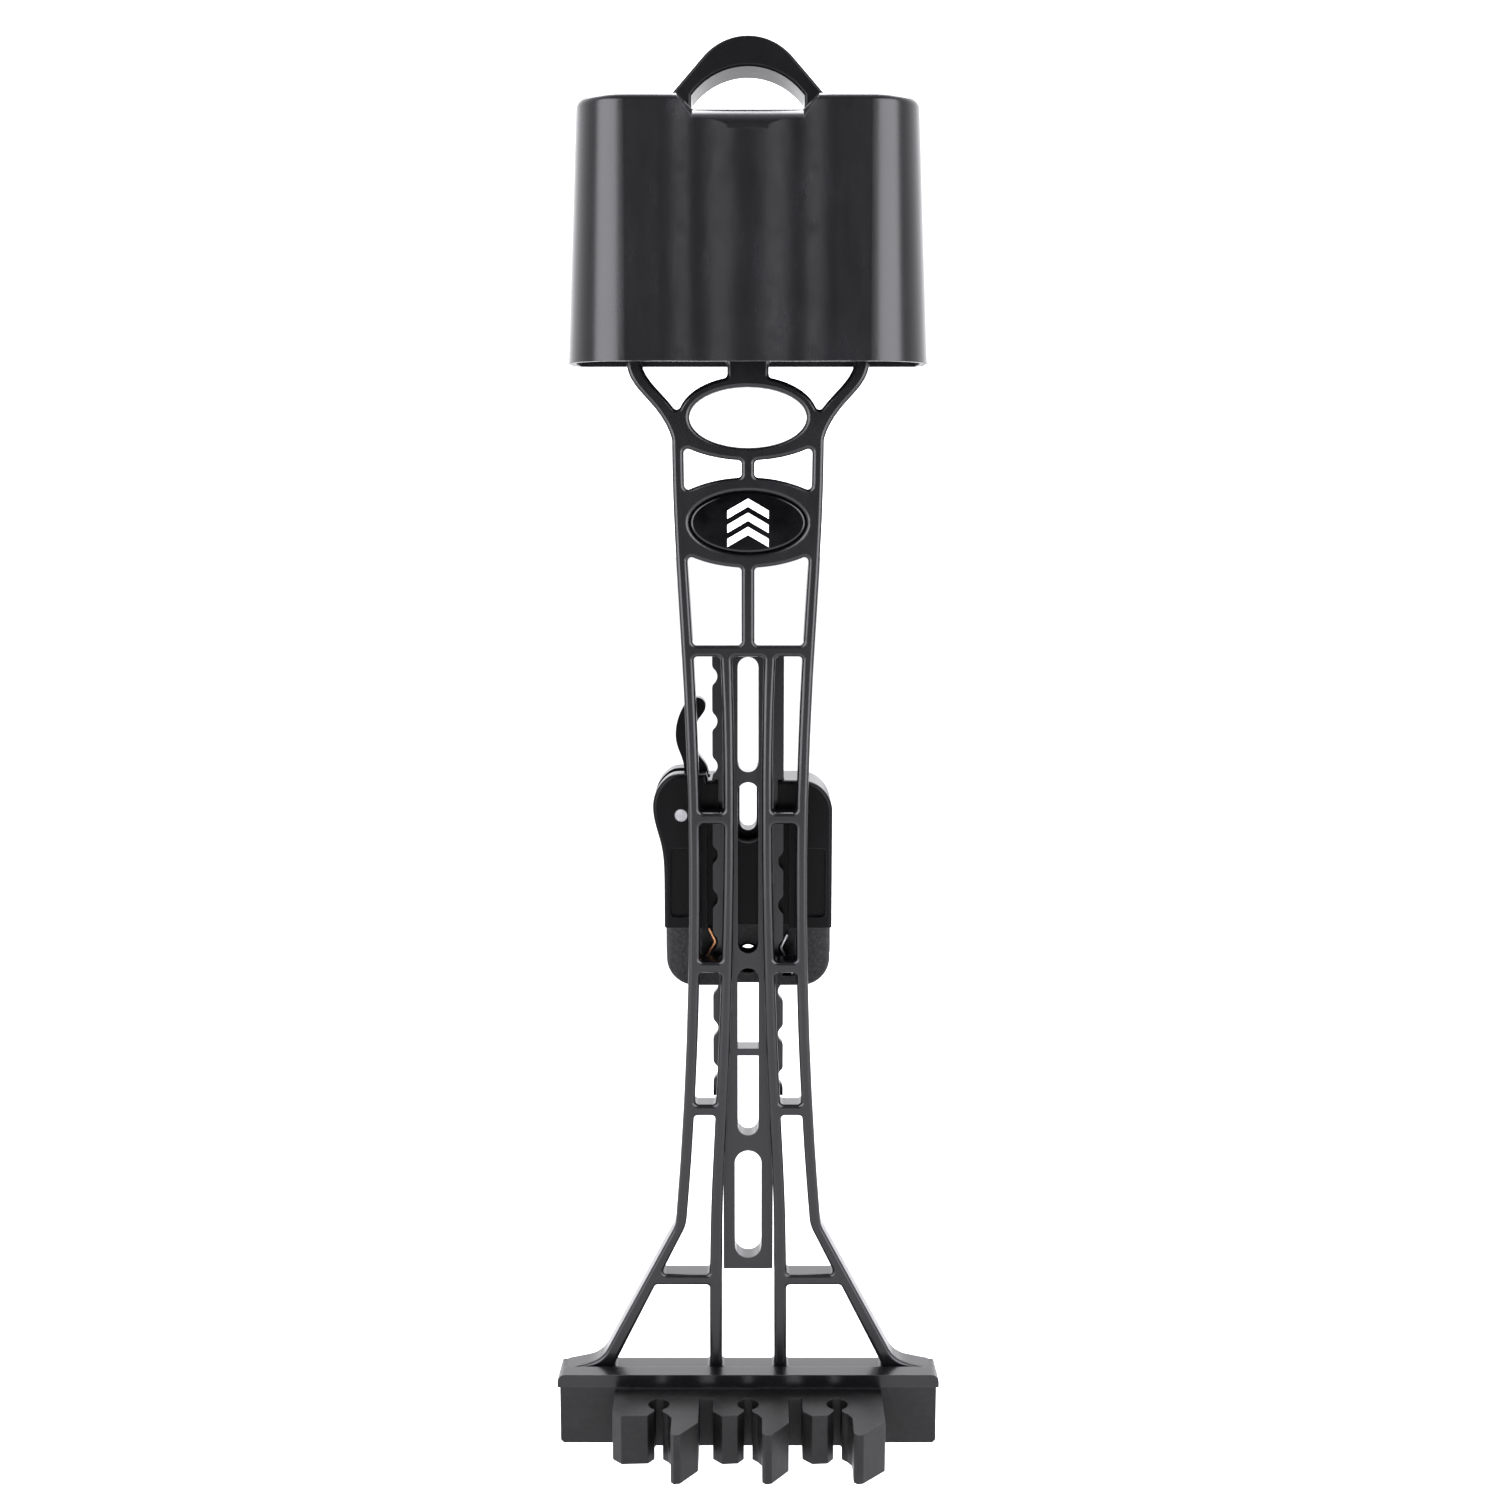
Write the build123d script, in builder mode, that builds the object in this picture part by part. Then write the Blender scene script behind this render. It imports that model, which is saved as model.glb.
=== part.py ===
"""Detachable, height-adjustable arrow quiver for a compound bow.

Millimetres.  +Z is up (hood at the top), the arrows' side faces -Y, the bow is on the +Y side.
The origin is on the back face of the mount plate, where it lies against the bow's riser.
Depths are counted backwards (+Y) from the front face of the truss frame.
"""
import math
import os

from build123d import *

os.makedirs("parts", exist_ok=True)

# ---------------------------------------------------------------- driving dimensions
MOUNT_DEPTH = 28.0        # front face of the frame to the riser face of the mount plate
STRUT_DEPTH = 7.0
STRUT_WIDTH = 3.5
CORNER_R = 1.2            # rounded corners of the frame's windows
EDGE_R = 1.1              # softened front edges of the frame

# heights of the frame's cross bars (middle of each bar) and their thickness
BAR_HEIGHTS = (82.8, 31.1, -16.1, -62.6, -119.3)
BAR_THICK = 3.6
YOKE_BOTTOM = 168.8       # underside of the yoke that carries the hood
YOKE_TOP = 206.0
YOKE_HALF = 35.6
RING_Z = 152.4            # open oval under the hood
BADGE_Z = 121.3           # oval badge
BADGE_A = 17.6
BADGE_B = 9.3
BADGE_RECESS = 2.0
BADGE_THICK = 1.7
STUB_HALF = 6.2
POST_HALF = 1.95

# rail at the back of the frame
WEB_HALF = 7.9
WEB_FRONT = 5.5
WEB_TOP = 83.0
WEB_BOTTOM = -117.8
RAIL_FRONT = 9.4
RAIL_BACK = 12.2
RAIL_HALF = 11.1
RAIL_TOP = 81.0
RAIL_BOTTOM = -60.8
NOTCH_PITCH = 14.07
NOTCH_DEPTH = 1.6
NOTCH_R = 3.0
NOTCH_LEFT_Z = -10.4      # the notch that the left detent rests in
NOTCH_RIGHT_Z = -12.5
RIGHT_NOTCH_TOP = 20.0    # the right edge is plain above this height
WEB_SLOTS = ((44.7, 80.4, 6.4), (-13.0, 41.5, 6.4), (-72.8, -17.8, 6.6), (-114.1, -77.9, 8.5))
THIN_BAR_Z = -45.2

# base flange and gripper
FLANGE_HALF = 60.8
FLANGE_FRONT = -7.0
FLANGE_BACK = 9.0
FLANGE_BOTTOM = -152.2
BAY_BOTTOM = -149.3       # floor of the frame's lowest windows
FLANGE_BACK_TOP = -150.6
BLOCK_HALF = 60.0
BLOCK_HEIGHT = 19.1
GRIP_TOP = -153.2
GRIP_BOTTOM = -169.3
ARROW_PITCH = 28.0
ARROW_DEPTH = -15.7       # arrow centre line, in front of the frame
ARROW_SLOT_R = 3.3
NECK_HALF = 1.3
FLANGE_STEPS = ((FLANGE_BACK, FLANGE_BACK_TOP), (4.0, -149.3), (-1.5, -148.0))   # depth reached, height
GRIP_SCREW_X = 49.0
GRIP_SCREW_DEPTH = 1.0
GRIP_SCREW_R = 1.6
GRIP_SCREW_BITE = 2.4
GRIP_HEAD_R = 3.1
GRIP_HEAD_H = 1.8
GRIP_HEAD_SINK = 2.6
GRIP_HALF = 42.4
GRIP_ROOT_FRONT = -12.0
GRIP_SLOTS = ((-ARROW_PITCH, 14.4, 12.6), (0.0, 11.0, 12.6), (ARROW_PITCH, 11.0, 14.4))  # X, finger, lip
TONGUE_HALF = 38.0
TONGUE_DEPTH = 4.0

# hood
HOOD_BOTTOM = 167.4
HOOD_TOP = 240.6
HOOD_BACK = 9.4
HOOD_WALL = 2.2
HOOD_TAPER = 2.6          # degrees
LOBE_R = 17.5             # rounded outer corners of the hood
LOBE_X = 34.6
LOBE_DEPTH = -9.0
GROOVE_X = 15.0           # the two shallow grooves in the hood's front
GROOVE_DEPTH = 1.0
RIDGE_SINK = 0.1          # how far the ridge between them stands back
GROOVE_END_X = 25.0
ROOF_DROP = 3.8
ROOF_RECESS_HALF = 23.2
ROOF_RECESS_FRONT = -9.4
ROOF_UNDERSIDE = 234.4
SCOOP_HALF = 15.5         # rounded scoop at the top of the hood's front, between the grooves
SCOOP_R = 6.0
SCOOP_DEPTH = -17.2
HOOD_BACK_R = 4.0
HOOD_REAR = 16.0          # where the tapered sides are drawn to before the back is cut flat
HOOD_EDGE_R = 2.6
RIM_RISE = 7.3            # degrees that the hood's rim climbs towards the back
FOAM_BOTTOM = 209.0
FOAM_TOP = 222.0
FOAM_GAP = 0.15

# hanging loop
LOOP_FRONT = -9.0
LOOP_WIDTH = 18.0
LOOP_HALF = 23.0
LOOP_SHOULDER_Z = 241.4
LOOP_PEAK_Z = 267.2
LOOP_TOP_R = 17.0
LOOP_INNER_R = 20.3
LOOP_INNER_Z = 250.2
LOOP_INNER_HALF = 16.1
LOOP_SCREW_X = 19.5
LOOP_SCREW_BITE = 3.6

# mount
HOUSING_FRONT = 8.0
PLATE_FRONT = 20.0
MOUNT_HALF = 26.3
MOUNT_TOP = 41.6
MOUNT_BOTTOM = -24.4
CAP_TOP = -5.4
CHANNEL_HALF = 11.25
CHANNEL_FRONT = 9.3
CHANNEL_BACK = 12.35
LIP_HALF = 9.3
WINDOW_HALF = 12.8
WINDOW_TOP = 29.0
WINDOW_BOTTOM = -18.0
BOW_HOLE_R = 2.7
BOW_HOLE_Z = -16.67
BOW_SLOT_Z = 26.2         # lowest screw position in the open-ended slot
HEAD_ACCESS_R = 5.3
CAP_INSET = 0.3
MOUNT_LOWER_R = 9.0
MOUNT_UPPER_R = 10.0
MOUNT_EDGE_R = 1.2
POCKET_MID_X = 19.6
POCKET_MID_Z = 9.0
POCKET_WIDTH = 9.6
POCKET_HEIGHT = 22.0
POCKET_DEPTH = 1.6

# cam lever
PIN_X = -20.9
PIN_Z = 30.5
PIN_R = 2.0
PIN_CLEARANCE = 0.05
CAM_R = 5.54
CAM_OFFSET = 1.0
LEVER_FRONT = 14.6
LEVER_BACK = 19.4
LEVER_SLOT_FRONT = 14.0
SHOE_LEFT = -14.3
SHOE_RIGHT = -11.13
SHOE_BOTTOM = 25.5
SHOE_TOP = 35.5
SHOE_PLAY = 0.05
LEVER_SLOT_BOTTOM = 19.0
LEVER_SLOT_RIGHT = -12.0
WASHER_R = 4.4
WASHER_THICK = 0.55
LEVER_OUTLINE = ((-24.2, 33.5), (-22.0, 38.5), (-20.2, 42.5), (-20.7, 47.5), (-22.4, 52.5), (-22.4, 58.0),
                 (-20.5, 63.3), (-17.3, 66.6), (-14.0, 66.0), (-13.3, 63.6), (-15.4, 60.0), (-16.8, 55.0),
                 (-16.0, 49.5), (-13.2, 45.5), (-12.6, 42.0), (-14.4, 37.5), (-16.0, 32.5), (-20.5, 29.5))

# detent springs
DETENT_FRONT = 9.8
DETENT_THICK = 0.6
DETENT_ROOT_X = 13.9
DETENT_ROOT_BOTTOM = -21.9
DETENT_ROOT_TOP = -19.0
DETENT_PATH = ((13.9, -21.9), (13.9, -16.6), (10.3, -10.4), (12.4, -6.0))

# fasteners
HOOD_SCREW_XS = (-26.0, 0.0, 26.0)
HOOD_SCREW_Z = 198.0
INSERT_LENGTH = 5.4
M4_R = 2.0
M4_HEAD_R = 3.8
M4_HEAD_H = 2.2
INSERT_R = 2.9
MOUNT_INSERT_LENGTH = 7.0
HEX_R = 1.5
HEX_DEPTH = 1.4
HOUSING_SCREWS = ((-21.6, 6.0), (21.4, 31.0), (21.6, 6.0), (-20.0, -14.8), (20.0, -14.8))

BACKWARDS = (0, 1, 0)


def at_depth(depth):
    """Front view plane (X right, Z up) lying the given depth behind the frame's front face."""
    return Plane.XZ.offset(MOUNT_DEPTH - depth)


def from_above(height):
    """Plan plane whose local Y counts depth towards the front, origin on the frame's front face."""
    return Plane(origin=(0, -MOUNT_DEPTH, height), x_dir=(1, 0, 0), z_dir=(0, 0, 1))


def front_box(x_range, z_range, front, back):
    """Plain box given by its X, Z and depth limits, outside any part under construction."""
    size = (x_range[1] - x_range[0], back - front, z_range[1] - z_range[0])
    middle = ((x_range[0] + x_range[1]) / 2, (front + back) / 2 - MOUNT_DEPTH, (z_range[0] + z_range[1]) / 2)
    with BuildPart(mode=Mode.PRIVATE) as block:
        with Locations(middle):
            Box(*size)
    return block.part


def finish(part, name):
    part.label = name
    export_step(part, f"parts/{name}.step")


# ---------------------------------------------------------------- frame: truss, rail, base flange
OUTER_CURVE = [(22.7, 146.0), (22.2, 122.0), (20.0, 80.0), (18.6, 43.0), (18.7, -20.0), (20.4, -62.0),
               (23.2, -101.0)]
INNER_CURVE = [(x - STRUT_WIDTH, z) for x, z in OUTER_CURVE]
ARM_OUTER = [(22.7, 146.0), (24.3, 150.1), (28.4, 156.0), (33.5, 161.8), (YOKE_HALF, 172.0)]
ARM_INNER = [(INNER_CURVE[0][0], 146.0), (20.2, 152.0), (25.3, 158.9), (30.0, 164.4), (31.9, 172.0)]
INNER_STRUT_OUTER = [(8.4, 81.0), (8.1, -10.0), (10.1, -60.0), (11.8, -95.0), (12.3, -122.0),
                     (12.3, BAY_BOTTOM)]
INNER_STRUT_INNER = [(4.9, 81.0), (4.8, -10.0), (6.5, -60.0), (8.1, -95.0), (8.3, -122.0),
                     (8.4, BAY_BOTTOM)]
LEG_OUTER_KNEE = (47.4, -147.0)
LEG_OUTER_FOOT = (58.5, BAY_BOTTOM)
LEG_INNER_FOOT = (43.6, BAY_BOTTOM)


def closed_outline(curve, arm, leg_points, top):
    """Closed symmetrical line: a side curve, its arm above and its leg below, on both sides."""
    right_side = Spline(*curve)
    right_arm = Spline(*arm)
    leg = Polyline(right_side @ 1, *leg_points)
    rise = Line(right_arm @ 1, (arm[-1][0], top))
    Line(rise @ 1, (-arm[-1][0], top))
    for half in (right_side, right_arm, leg, rise):
        mirror(half, about=Plane.YZ)
    foot_x, foot_z = leg_points[-1]
    Line((foot_x, foot_z), (-foot_x, foot_z))


with BuildSketch(at_depth(0)) as truss_outline:
    with BuildLine():
        outer_leg = [LEG_OUTER_KNEE, LEG_OUTER_FOOT, (LEG_OUTER_FOOT[0], FLANGE_BACK_TOP)]
        closed_outline(OUTER_CURVE, ARM_OUTER, outer_leg, YOKE_TOP)
    make_face()
    bends = [v for v in truss_outline.vertices() if v.Y in (OUTER_CURVE[-1][1], LEG_OUTER_KNEE[1])]
    fillet(bends, 9)

with BuildSketch(at_depth(0)) as bays:
    with BuildLine():
        closed_outline(INNER_CURVE, ARM_INNER, [LEG_INNER_FOOT], YOKE_TOP)
    make_face()
    bends = [v for v in bays.vertices() if v.Y == INNER_CURVE[-1][1]]
    fillet(bends, 12)
    # yoke bar, ovals, post and cross bars stay solid
    with Locations((0, YOKE_BOTTOM + 30)):
        Rectangle(90, 60, mode=Mode.SUBTRACT)
    with Locations((0, RING_Z)):
        Ellipse(20.8, 12.2, mode=Mode.SUBTRACT)
    with BuildSketch(mode=Mode.SUBTRACT):
        with Locations((0, RING_Z)):
            Ellipse(26.0, 12.7)
        with Locations((0, RING_Z + 10)):
            Rectangle(80, 20, mode=Mode.SUBTRACT)
    with Locations((0, BADGE_Z)):
        Ellipse(26.0, 13.5, mode=Mode.SUBTRACT)
    with Locations((0, (YOKE_BOTTOM + RING_Z) / 2)):
        Rectangle(2 * STUB_HALF, YOKE_BOTTOM - RING_Z, mode=Mode.SUBTRACT)
    with Locations((0, (RING_Z + BAR_HEIGHTS[0]) / 2)):
        Rectangle(2 * POST_HALF, RING_Z - BAR_HEIGHTS[0], mode=Mode.SUBTRACT)
    for bar_z in BAR_HEIGHTS:
        with Locations((0, bar_z)):
            Rectangle(90, BAR_THICK, mode=Mode.SUBTRACT)
    for side in (1, -1):
        with BuildLine():
            outer_edge = Spline(*[(side * x, z) for x, z in INNER_STRUT_OUTER])
            inner_edge = Spline(*[(side * x, z) for x, z in INNER_STRUT_INNER])
            Line(outer_edge @ 0, inner_edge @ 0)
            Line(outer_edge @ 1, inner_edge @ 1)
        make_face(mode=Mode.SUBTRACT)
    # one continuous gap between the inner struts, where the web stands back
    with BuildLine():
        right_edge = Spline(*INNER_STRUT_INNER)
        mirror(right_edge, about=Plane.YZ)
        Line(right_edge @ 0, (-INNER_STRUT_INNER[0][0], INNER_STRUT_INNER[0][1]))
        Line(right_edge @ 1, (-INNER_STRUT_INNER[-1][0], INNER_STRUT_INNER[-1][1]))
    make_face()


with BuildSketch(at_depth(0)) as ring_hole:
    with Locations((0, RING_Z)):
        Ellipse(17.4, 8.8)

with BuildSketch(at_depth(0)) as badge_recess:
    with Locations((0, BADGE_Z)):
        Ellipse(BADGE_A, BADGE_B)

with BuildSketch(at_depth(0)) as yoke_window:
    with Locations((0, 182)):
        RectangleRounded(56, 15, 3)

with BuildSketch(at_depth(WEB_FRONT)) as web:
    with Locations((0, (WEB_TOP + WEB_BOTTOM) / 2)):
        Rectangle(2 * WEB_HALF, WEB_TOP - WEB_BOTTOM)
    for slot_bottom, slot_top, slot_width in WEB_SLOTS:
        with Locations((0, (slot_bottom + slot_top) / 2)):
            SlotOverall(slot_top - slot_bottom, slot_width, rotation=90, mode=Mode.SUBTRACT)
    with Locations((0, THIN_BAR_Z)):
        Rectangle(2 * WEB_HALF, 2.3)


def rail_flange(side, notch_z, top_notch):
    """Sketch of one edge of the rail, with notches from its lower end up to top_notch."""
    with BuildSketch(at_depth(RAIL_FRONT)) as edge:
        with Locations((side * (RAIL_HALF + WEB_HALF - 1) / 2, (RAIL_TOP + RAIL_BOTTOM) / 2)):
            Rectangle(RAIL_HALF - WEB_HALF + 1, RAIL_TOP - RAIL_BOTTOM)
        first = int((RAIL_BOTTOM + NOTCH_R - notch_z) / NOTCH_PITCH)
        last = int((top_notch - notch_z) / NOTCH_PITCH)
        centres = [(side * (RAIL_HALF - NOTCH_DEPTH + NOTCH_R), notch_z + NOTCH_PITCH * i)
                   for i in range(first, last + 1)]
        with Locations(*centres):
            Circle(NOTCH_R, mode=Mode.SUBTRACT)
        crests = [v for v in edge.vertices()
                  if abs(abs(v.X) - RAIL_HALF) < 0.01 and RAIL_BOTTOM + 1 < v.Y < RAIL_TOP - 1]
        fillet(crests, 2.0)
    return edge.sketch


with BuildPart() as frame:
    extrude(truss_outline.sketch, amount=STRUT_DEPTH, dir=BACKWARDS)
    for face in bays.sketch.faces():
        extrude(face, amount=STRUT_DEPTH, dir=BACKWARDS, mode=Mode.SUBTRACT)
    corners = frame.edges().filter_by(Axis.Y)
    corners = corners.filter_by(lambda e: abs(e.center().X) < LEG_INNER_FOOT[0] + 1)
    corners = corners.filter_by(lambda e: YOKE_BOTTOM + 1 > e.center().Z > BAY_BOTTOM - 1)
    corners = corners.filter_by(lambda e: not -112 < e.center().Z < -90)
    corners = corners.filter_by(lambda e: not (e.center().Z > 140 and abs(e.center().X) > 22))
    fillet(corners, CORNER_R)
    extrude(ring_hole.sketch, amount=STRUT_DEPTH, dir=BACKWARDS, mode=Mode.SUBTRACT)
    extrude(badge_recess.sketch, amount=BADGE_RECESS, dir=BACKWARDS, mode=Mode.SUBTRACT)
    extrude(yoke_window.sketch, amount=STRUT_DEPTH, dir=BACKWARDS, mode=Mode.SUBTRACT)
    front = frame.faces().filter_by(Plane.XZ).sort_by(Axis.Y)[0]
    soft_edges = front.edges().filter_by(lambda e: e.center().Z > FLANGE_BACK_TOP + 0.5)
    fillet(soft_edges, EDGE_R)
    # web and notched rail
    extrude(web.sketch, amount=RAIL_BACK - WEB_FRONT, dir=BACKWARDS)
    for side, notch_z, top_notch in ((-1, NOTCH_LEFT_Z, RAIL_TOP), (1, NOTCH_RIGHT_Z, RIGHT_NOTCH_TOP)):
        extrude(rail_flange(side, notch_z, top_notch), amount=RAIL_BACK - RAIL_FRONT, dir=BACKWARDS)
    # base flange with round ends, stepping up towards its front
    for reach, top in FLANGE_STEPS:
        with BuildSketch(at_depth(FLANGE_FRONT)) as step:
            with Locations((0, (FLANGE_BOTTOM + top) / 2)):
                Rectangle(2 * FLANGE_HALF, top - FLANGE_BOTTOM)
            fillet(step.vertices().group_by(Axis.Y)[-1], 0.55 * (top - FLANGE_BOTTOM))
        extrude(amount=reach - FLANGE_FRONT, dir=BACKWARDS)
    # blind holes for the hood's inserts and the gripper screws
    with Locations(Plane.XZ.offset(MOUNT_DEPTH - STRUT_DEPTH)):
        with Locations(*[(x, HOOD_SCREW_Z) for x in HOOD_SCREW_XS]):
            Cylinder(INSERT_R, 2 * INSERT_LENGTH, mode=Mode.SUBTRACT)
    with Locations(from_above(FLANGE_BOTTOM)):
        with Locations(*[(x, GRIP_SCREW_DEPTH) for x in (-GRIP_SCREW_X, GRIP_SCREW_X)]):
            Cylinder(GRIP_SCREW_R, 2 * GRIP_SCREW_BITE, mode=Mode.SUBTRACT)
finish(frame.part, "frame")


# ---------------------------------------------------------------- badge
with BuildPart() as badge:
    with BuildSketch(at_depth(BADGE_RECESS)):
        with Locations((0, BADGE_Z)):
            Ellipse(BADGE_A - 0.15, BADGE_B - 0.15)
    extrude(amount=BADGE_THICK)
    fillet(badge.faces().sort_by(Axis.Y)[0].edges(), BADGE_THICK * 0.6)
finish(badge.part, "badge")


# ---------------------------------------------------------------- hood
def hood_profile(height, inset):
    """Plan outline of the hood, drawn in by inset: round outer corners, two shallow grooves in front."""
    front = LOBE_DEPTH - LOBE_R + inset
    side = LOBE_X + LOBE_R - inset
    with BuildSketch(from_above(height)) as profile:
        with BuildLine():
            groove = Spline((0, front + RIDGE_SINK), (GROOVE_X, front + GROOVE_DEPTH), (GROOVE_END_X, front),
                            tangents=((1, 0), (1, 0)))
            flat = Line(groove @ 1, (LOBE_X, front))
            corner = TangentArc(flat @ 1, (side, LOBE_DEPTH), tangent=(1, 0))
            flank = Line(corner @ 1, (side, HOOD_REAR))
            for half in (groove, flat, corner, flank):
                mirror(half, about=Plane.YZ)
            Line(flank @ 1, (-side, HOOD_REAR))
        make_face()
    return profile.sketch


def hood_block(low, high, inset):
    """Tapering block with the hood's outline between two heights."""
    slope = math.tan(math.radians(HOOD_TAPER))
    with BuildPart(mode=Mode.PRIVATE) as block:
        add(hood_profile(low, inset + (low - HOOD_BOTTOM) * slope))
        add(hood_profile(high, inset + (high - HOOD_BOTTOM) * slope))
        loft(ruled=True)
    return block.part


def scoop_cutter(margin):
    """What is missing between the two halves of the hood's top: a round-fronted scoop and its channel."""
    half = SCOOP_HALF + margin
    radius = SCOOP_R - margin
    floor = HOOD_TOP - ROOF_DROP - margin
    axis_z = floor - radius
    reach = 12.0
    with BuildPart(mode=Mode.PRIVATE) as rounded:
        with BuildSketch(at_depth(SCOOP_DEPTH)):
            with BuildLine():
                Polyline((-half - reach, axis_z), (-half - reach, floor + reach), (-half, floor),
                         (half, floor), (half + reach, floor + reach), (half + reach, axis_z), close=True)
            make_face()
        revolve(axis=Axis((0, SCOOP_DEPTH - MOUNT_DEPTH, axis_z), (1, 0, 0)))
    with BuildPart(mode=Mode.PRIVATE) as cutter:
        add(front_box((-half - reach, half + reach), (axis_z, floor + reach), -45, SCOOP_DEPTH))
        add(rounded.part, mode=Mode.SUBTRACT)
        with BuildSketch(at_depth(SCOOP_DEPTH)):
            with BuildLine():
                Polyline((-half, floor), (half, floor), (half + reach, floor + reach),
                         (-half - reach, floor + reach), close=True)
            make_face()
        extrude(amount=ROOF_RECESS_FRONT - SCOOP_DEPTH + 1, dir=BACKWARDS)
    return cutter.part


def cut_behind(depth):
    """Removes everything behind the given depth, which leaves an upright flat back."""
    add(front_box((-80, 80), (HOOD_BOTTOM - 5, HOOD_TOP + 5), depth, depth + 40), mode=Mode.SUBTRACT)


with BuildPart() as hood_cavity:
    add(hood_block(HOOD_BOTTOM, ROOF_UNDERSIDE, HOOD_WALL))
    cut_behind(HOOD_BACK - HOOD_WALL)
    add(scoop_cutter(HOOD_WALL), mode=Mode.SUBTRACT)

with BuildPart() as hood_shell:
    add(hood_block(HOOD_BOTTOM, HOOD_TOP, 0))
    cut_behind(HOOD_BACK)
    back_corners = hood_shell.edges().filter_by(lambda e: abs(e.center().X) > LOBE_X and e.length > 60)
    fillet(back_corners.group_by(Axis.Y)[-1], HOOD_BACK_R)
    fillet(hood_shell.faces().sort_by(Axis.Z)[-1].edges(), HOOD_EDGE_R)
    add(scoop_cutter(0), mode=Mode.SUBTRACT)
    with BuildSketch(at_depth(ROOF_RECESS_FRONT)):
        with BuildLine():
            Polyline((-ROOF_RECESS_HALF, HOOD_TOP - ROOF_DROP), (ROOF_RECESS_HALF, HOOD_TOP - ROOF_DROP),
                     (ROOF_RECESS_HALF + 1, HOOD_TOP + 1), (-ROOF_RECESS_HALF - 1, HOOD_TOP + 1), close=True)
        make_face()
    extrude(amount=30, dir=BACKWARDS, mode=Mode.SUBTRACT)
    add(hood_cavity.part, mode=Mode.SUBTRACT)
    # the rim climbs towards the back
    with Locations(Location((0, LOBE_DEPTH - LOBE_R - MOUNT_DEPTH, HOOD_BOTTOM), (RIM_RISE, 0, 0))):
        Box(200, 200, 40, align=(Align.CENTER, Align.CENTER, Align.MAX), mode=Mode.SUBTRACT)
    with Locations(at_depth(HOOD_BACK)):
        with Locations(*[(x, HOOD_SCREW_Z) for x in HOOD_SCREW_XS]):
            Cylinder(M4_R + 0.2, 12, mode=Mode.SUBTRACT)
    with Locations(from_above(HOOD_TOP)):
        with Locations((-LOOP_SCREW_X, 0), (LOOP_SCREW_X, 0)):
            Cylinder(M4_R + 0.2, 20, mode=Mode.SUBTRACT)
finish(hood_shell.part, "hood_shell")

with BuildPart() as hood_foam:
    add(hood_block(FOAM_BOTTOM, FOAM_TOP, HOOD_WALL + FOAM_GAP))
    cut_behind(HOOD_BACK - HOOD_WALL - FOAM_GAP)
finish(hood_foam.part, "hood_foam")


# ---------------------------------------------------------------- hanging loop
with BuildPart() as hanging_loop:
    with BuildSketch(at_depth(LOOP_FRONT)) as loop_profile:
        with BuildLine():
            foot = LOOP_HALF, HOOD_TOP - ROOF_DROP
            shoulder = LOOP_HALF, LOOP_SHOULDER_Z
            left_side = (-shoulder[0], shoulder[1]), (-foot[0], foot[1])
            Polyline(foot, shoulder, (0, LOOP_PEAK_Z), *left_side, close=True)
        make_face()
        peak = loop_profile.vertices().sort_by(Axis.Y)[-1:]
        fillet(peak, LOOP_TOP_R)
        shoulders = [v for v in loop_profile.vertices() if abs(v.Y - LOOP_SHOULDER_Z) < 0.1]
        fillet(shoulders, 2.0)
        with BuildSketch(mode=Mode.SUBTRACT):
            with Locations((0, LOOP_INNER_Z - LOOP_INNER_R)):
                Circle(LOOP_INNER_R)
            with Locations((0, HOOD_TOP)):
                Rectangle(2 * LOOP_INNER_HALF, 40, mode=Mode.INTERSECT)
    extrude(amount=LOOP_WIDTH, dir=BACKWARDS)
    with Locations(from_above(HOOD_TOP - ROOF_DROP)):
        with Locations((-LOOP_SCREW_X, 0), (LOOP_SCREW_X, 0)):
            Cylinder(M4_R, 2 * LOOP_SCREW_BITE, mode=Mode.SUBTRACT)
    outline_edges = hanging_loop.edges().filter_by(Plane.XZ)
    fillet(outline_edges.filter_by(lambda e: e.center().Z > HOOD_TOP - ROOF_DROP + 0.5), 0.9)
finish(hanging_loop.part, "hanging_loop")


# ---------------------------------------------------------------- arrow gripper
with BuildPart() as gripper_block:
    with BuildSketch(from_above(FLANGE_BOTTOM - BLOCK_HEIGHT)):
        with Locations((0, (FLANGE_FRONT + FLANGE_BACK) / 2)):
            Rectangle(2 * BLOCK_HALF, FLANGE_BACK - FLANGE_FRONT - 0.6)
    extrude(amount=BLOCK_HEIGHT)
    chamfer(gripper_block.faces().sort_by(Axis.Z)[0].edges().filter_by(Axis.Y), 1.0)
    with BuildSketch(from_above(GRIP_BOTTOM)):
        with Locations((0, FLANGE_FRONT + TONGUE_DEPTH / 2)):
            Rectangle(2 * TONGUE_HALF, TONGUE_DEPTH)
    extrude(amount=GRIP_TOP - GRIP_BOTTOM, mode=Mode.SUBTRACT)
    with Locations(from_above(FLANGE_BOTTOM)):
        with Locations(*[(x, GRIP_SCREW_DEPTH) for x in (-GRIP_SCREW_X, GRIP_SCREW_X)]):
            Cylinder(GRIP_SCREW_R, 2 * BLOCK_HEIGHT, mode=Mode.SUBTRACT)
    with Locations(from_above(FLANGE_BOTTOM - BLOCK_HEIGHT)):
        with Locations(*[(x, GRIP_SCREW_DEPTH) for x in (-GRIP_SCREW_X, GRIP_SCREW_X)]):
            Cylinder(GRIP_HEAD_R + 0.3, 2 * GRIP_HEAD_SINK, mode=Mode.SUBTRACT)
finish(gripper_block.part, "gripper_block")


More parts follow.
